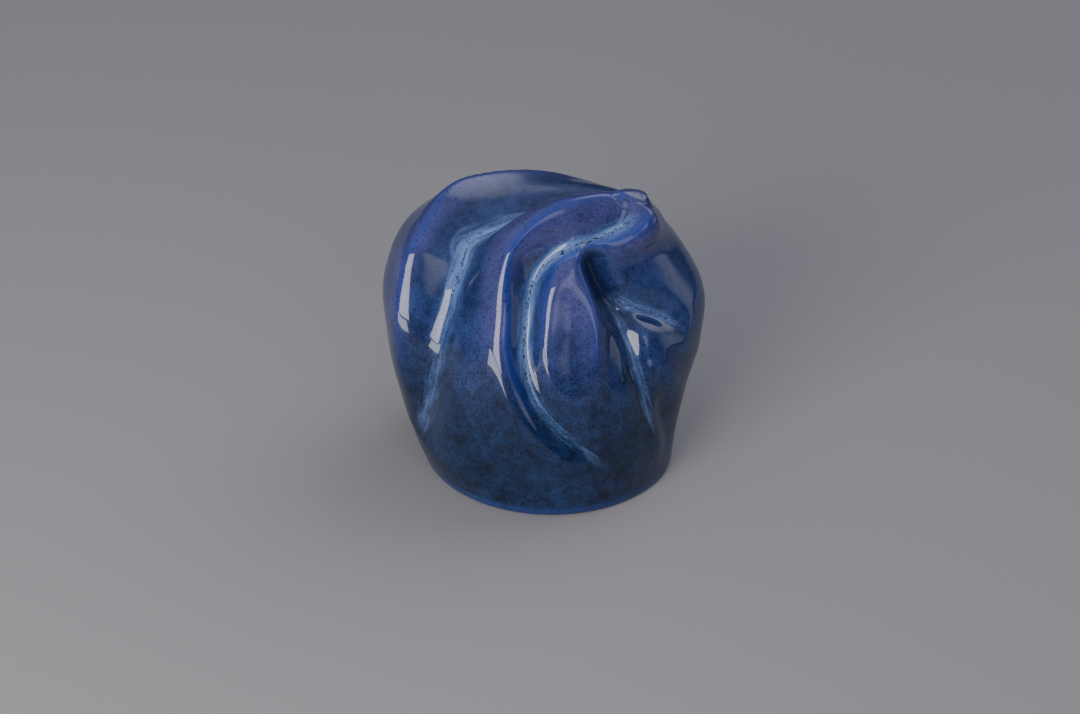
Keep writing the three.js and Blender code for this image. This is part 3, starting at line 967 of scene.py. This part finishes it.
finish = {
    "Fold Count": len(folds),
    "Fold Scale": 1.0,
    "Ridge Width": 1.3 * mm,
    "Ridge From": 1 * mm,  # rise where a crest begins to show as a ridge
    "Ridge Full": 6 * mm,
    "Pool Width": 0.55,  # share of a valley's half width
    "Pool From": 0.3 * mm,  # depth where glaze begins to gather
    "Pool Full": 5.5 * mm,
    "Wobble": 0.35 * mm,
    "Wobble Size": 18 * mm,
}


def makeBody():
    guides = makeGuides()
    piece = makeShell()
    piece.name = "urn_glazed_body"
    values = dict(finish, Guides=guides, Glaze=makeGlaze())
    values["Bare Clay"] = makeClay()
    applyTree(piece, makeFoldTree(), values)
    bpy.data.objects.remove(guides)
    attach(piece, "root")
    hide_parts("urn_body")
    return piece


urnBody = makeBody()
print("body made:", len(urnBody.data.vertices), "points")


# The soft stopper in the underside

stopper = {  # it fits the body's fill hole, recess and floor
    "clearance": 0.3,
    "lipWidth": 3.0,
    "lipThickness": 1.6,
    "plugRise": 2.0,
    "plugChamfer": 1.0,
    "gripDepth": 4.0,
    "gripRadius": 8.5,
    "knobRadius": 3.0,
    "rounding": 0.35,
    "sides": 96,
}


def roundedProfile(corners, radius, steps=4):
    points = []
    for k, (corner, isSharp) in enumerate(corners):
        here = np.array(corner, float)
        if isSharp:
            points.append(here)
            continue
        before = np.array(corners[k - 1][0], float) - here
        after = np.array(corners[k + 1][0], float) - here
        start = here + unit(before) * radius
        stop = here + unit(after) * radius
        for i in range(steps + 1):
            t = i / steps
            points.append((1 - t) ** 2 * start + 2 * t * (1 - t) * here + t**2 * stop)
    return points


def makeStopper():
    plugRadius = body["fillHoleRadius"] - stopper["clearance"]
    lipRadius = body["fillHoleRadius"] + stopper["lipWidth"]
    lipTop = body["recessDepth"] - stopper["clearance"]
    lipBottom = lipTop - stopper["lipThickness"]
    gripTop = lipBottom + stopper["gripDepth"]
    plugTop = body["recessDepth"] + body["floorThickness"] + stopper["plugRise"]
    chamfer = stopper["plugChamfer"]
    corners = [
        ((0, lipBottom), True),
        ((stopper["knobRadius"], lipBottom), False),
        ((stopper["knobRadius"], gripTop), False),
        ((stopper["gripRadius"], gripTop), False),
        ((stopper["gripRadius"], lipBottom), False),
        ((lipRadius, lipBottom), False),
        ((lipRadius, lipTop), False),
        ((plugRadius, lipTop), False),
        ((plugRadius, plugTop - chamfer), False),
        ((plugRadius - chamfer, plugTop), False),
        ((0, plugTop), True),
    ]
    profile = roundedProfile(corners, stopper["rounding"])
    sides = stopper["sides"]
    turn = 2 * np.pi * np.arange(sides) / sides
    right, back = footMiddle
    points = [(right, back, profile[0][1])]
    for radius, height in profile[1:-1]:
        points.extend((right + radius * math.cos(a), back + radius * math.sin(a), height) for a in turn)
    points.append((right, back, profile[-1][1]))
    faces = []
    rowCount = len(profile) - 2
    for i in range(sides):
        j = (i + 1) % sides
        faces.append((0, 1 + j, 1 + i))
        for k in range(rowCount - 1):
            lower = 1 + k * sides
            upper = lower + sides
            faces.append((lower + i, lower + j, upper + j, upper + i))
        last = 1 + (rowCount - 1) * sides
        faces.append((last + i, last + j, len(points) - 1))
    piece = meshObject("soft_stopper", np.array(points) * mm, faces)
    piece.data.shade_smooth()
    piece.data.materials.append(makeRubber())
    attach(piece, "root")
    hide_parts("base_stopper")


makeStopper()
print("stopper made")


# Floor and studio light

studio = {
    "floorColour": (0.365, 0.358, 0.350, 1),
    # painted shade: the dark colour the floor fades to far from the urn
    "paintedShadeFloorColour": (0.06, 0.06, 0.065, 1),
    "floorRoughness": 0.9,
    "floorSize": 6.0,  # metres
    "middle": (0, 200, 0),  # mm; the floor is painted pale round here, a painted pool of light
    "reach": (430, 370, 1000),  # and this far from it
    "paintedFalloff": (1.0, 2.2),  # in reaches; painted shade darkens the floor from the first to the second
    "zenith": (0.42, 0.43, 0.52, 1),
    "horizon": (0.04, 0.045, 0.06, 1),
    "skyRise": (0.2, 0.9),  # from the horizon's shade to the zenith's
    "aim": (0, 0, 50),  # mm; the lamps point here
}

# Soft glows in the world: direction in degrees (round and up), then how many degrees from their middle
# they are full and end, strength, colour.
glows = {
    "behind": (45, 45, 12, 31, 1.7, (0.90, 0.91, 1.0, 1)),
    "front": (-66, 24, 4, 17, 1.8, (0.86, 0.86, 1.0, 1)),
    "right": (11, 4, 6, 27, 0.75, (0.85, 0.88, 1.0, 1)),
}

# Each lamp: direction from the urn in degrees (round and up), distance, width and height in metres, watts,
# colour, and whether it lights what is matt or only shows in the gloss.
lamps = {
    "window": (-122, 17, 0.80, 0.47, 0.44, 5.4, (1.0, 0.97, 0.98), True),
    "lowWindow": (-131, -3.3, 0.42, 0.28, 0.06, 0.36, (0.97, 0.96, 1.0), False),
}


def directionAt(azimuth, elevation):
    a = math.radians(azimuth)
    e = math.radians(elevation)
    return Vector((math.cos(a) * math.cos(e), math.sin(a) * math.cos(e), math.sin(e)))


def makeStudio():
    size = studio["floorSize"] / 2
    corners = [(-size, -size, 0), (size, -size, 0), (size, size, 0), (-size, size, 0)]
    floor = meshObject("floor", corners, [(0, 1, 2, 3)])
    material, tree, shader, place = startMaterial("plainFloor")
    offset = vectorMaths(tree, "SUBTRACT", place, studio["middle"])
    offset = vectorMaths(tree, "DIVIDE", offset, studio["reach"])
    reach = addNode(tree, "ShaderNodeVectorMath", {0: offset}, operation="LENGTH").outputs["Value"]
    # painted pool of light: the floor fades from pale to painted shade away from the middle
    far = ramped(tree, reach, *studio["paintedFalloff"])
    colour = mixColours(tree, far, studio["floorColour"], studio["paintedShadeFloorColour"])
    tree.links.new(colour, shader.inputs["Base Color"])
    shader.inputs["Roughness"].default_value = studio["floorRoughness"]
    shader.inputs["Specular IOR Level"].default_value = 0
    floor.data.materials.append(material)

    world = bpy.data.worlds.new("studio")
    bpy.context.scene.world = world
    world.use_nodes = True
    sky = world.node_tree
    direction = addNode(sky, "ShaderNodeTexCoord").outputs["Generated"]
    upward = parts(sky, direction)[2]
    shade = mixColours(sky, ramped(sky, upward, *studio["skyRise"]), studio["horizon"], studio["zenith"])
    for azimuth, elevation, full, end, strength, colour in glows.values():
        toGlow = vectorMaths(sky, "DOT_PRODUCT", direction, directionAt(azimuth, elevation))
        glow = ramped(sky, toGlow, math.cos(math.radians(end)), math.cos(math.radians(full)))
        glowing = [part * strength for part in colour[:3]] + [1]
        inputs = {0: glow, 6: shade, 7: glowing}
        shade = addNode(sky, "ShaderNodeMix", inputs, data_type="RGBA", blend_type="ADD").outputs[2]
    sky.links.new(shade, sky.nodes["Background"].inputs["Color"])

    aim = Vector(studio["aim"]) * mm
    for name, (azimuth, elevation, distance, width, height, watts, colour, lightsMatt) in lamps.items():
        data = bpy.data.lights.new(name, "AREA")
        data.shape = "RECTANGLE"
        data.size = width
        data.size_y = height
        data.energy = watts
        data.color = colour
        lamp = bpy.data.objects.new(name, data)
        away = directionAt(azimuth, elevation)
        lamp.location = aim + away * distance
        lamp.rotation_euler = away.to_track_quat("Z", "Y").to_euler()
        lamp.visible_camera = False
        lamp.visible_diffuse = lightsMatt
        bpy.context.scene.collection.objects.link(lamp)


makeStudio()
print("studio lit")
